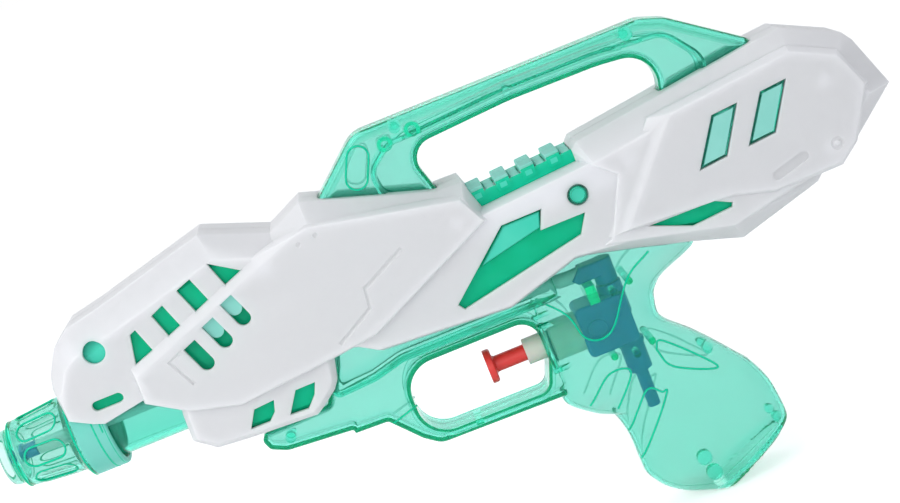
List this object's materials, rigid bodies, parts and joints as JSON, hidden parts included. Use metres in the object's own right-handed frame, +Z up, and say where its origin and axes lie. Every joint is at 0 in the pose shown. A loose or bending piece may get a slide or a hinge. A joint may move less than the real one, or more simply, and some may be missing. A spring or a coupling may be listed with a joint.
{
  "type": "toy water squirter",
  "caption": "Toy water squirter: see-through tank with carrying handle and pistol grip, white armour covers, screw cap at the muzzle and a sprung trigger pump.",
  "frame": {"origin": "under the middle of the bounding box, level with the lowest corner of the pistol grip", "axes": "+X back from the muzzle to the rear, +Y to the right-hand side, +Z up along the grip and handle"},
  "size_m": [0.382, 0.048, 0.1932],
  "materials": {
    "green_plastic": "see-through gloss",
    "white_plastic": "satin",
    "blue_plastic": "gloss",
    "red_plastic": "gloss",
    "natural_plastic": "milky satin",
    "clear_tube": "soft see-through gloss",
    "black_rubber": "matte",
    "steel": "bright"
  },
  "bodies": {
    "gun": {"tank_left_half": "green_plastic", "tank_right_half": "green_plastic", "left_shell": "white_plastic", "right_shell": "white_plastic", "shell_screw_1": "steel", "shell_screw_2": "steel", "shell_screw_3": "steel", "shell_screw_4": "steel", "shell_screw_5": "steel", "shell_screw_6": "steel", "nozzle_holder": "green_plastic", "nozzle": "blue_plastic", "delivery_tube": "clear_tube", "pump_body": "blue_plastic", "pump_cylinder": "natural_plastic", "cylinder_gasket": "black_rubber", "trigger_spring": "steel", "outlet_elbow": "blue_plastic", "inlet_fitting": "blue_plastic", "suction_pipe": "blue_plastic"},
    "trigger": {"trigger_plunger": "red_plastic", "piston_seal": "black_rubber"},
    "cap_seal": {"cap_gasket": "black_rubber"},
    "cap": {"front_cap": "green_plastic"},
    "inlet_valve": {"inlet_ball": "steel"},
    "outlet_valve": {"outlet_ball": "steel"}
  },
  "joints": [
    {"name": "trigger_slide", "type": "slide", "parent": "gun", "child": "trigger", "axis": [1, 0, 0], "range_m": [0, 0.0104], "stiffness_N_per_m": 300, "springref_m": -0.004, "deforming": ["trigger_spring"]},
    {"name": "cap_travel", "type": "slide", "parent": "gun", "child": "cap_seal", "axis": [-1, 0, 0], "range_m": [0, 0.00675]},
    {"name": "cap_turn", "type": "hinge", "parent": "cap_seal", "child": "cap", "pos_m": [-0.15, 0, 0.1229], "axis": [-1, 0, 0], "range_deg": [0, 810]},
    {"name": "inlet_lift", "type": "slide", "parent": "gun", "child": "inlet_valve", "axis": [0, 0, 1], "range_m": [0, 0.0012]},
    {"name": "outlet_lift", "type": "slide", "parent": "gun", "child": "outlet_valve", "axis": [0, 0, 1], "range_m": [0, 0.0012]}
  ],
  "couplings": [
    {"joint": "cap_travel", "follows": "cap_turn", "m_per_rad": 0.00047746}
  ]
}
